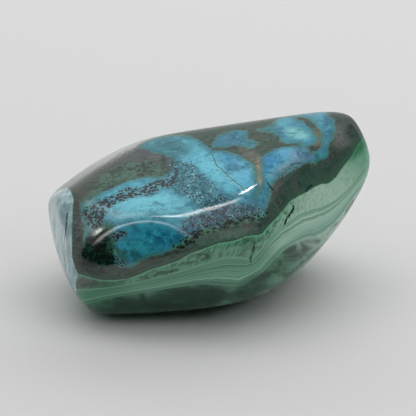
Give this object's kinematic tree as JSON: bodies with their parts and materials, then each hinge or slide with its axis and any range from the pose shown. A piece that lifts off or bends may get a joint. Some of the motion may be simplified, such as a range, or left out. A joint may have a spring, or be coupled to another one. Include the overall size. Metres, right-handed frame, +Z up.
{
  "type": "polished mineral specimen",
  "caption": "Polished freeform pebble of blue chrysocolla over banded green malachite, lying on a small flat of its base.",
  "frame": {"origin": "centre of the stone's footprint box, on the surface it rests on", "axes": "+Z up, +X along the length towards the blunt overhanging end, -Y towards the banded front flank"},
  "size_m": [0.0562, 0.039, 0.0306],
  "materials": {
    "polished_stone": "high polish"
  },
  "bodies": {
    "root": {"stone": "polished_stone"}
  },
  "joints": []
}
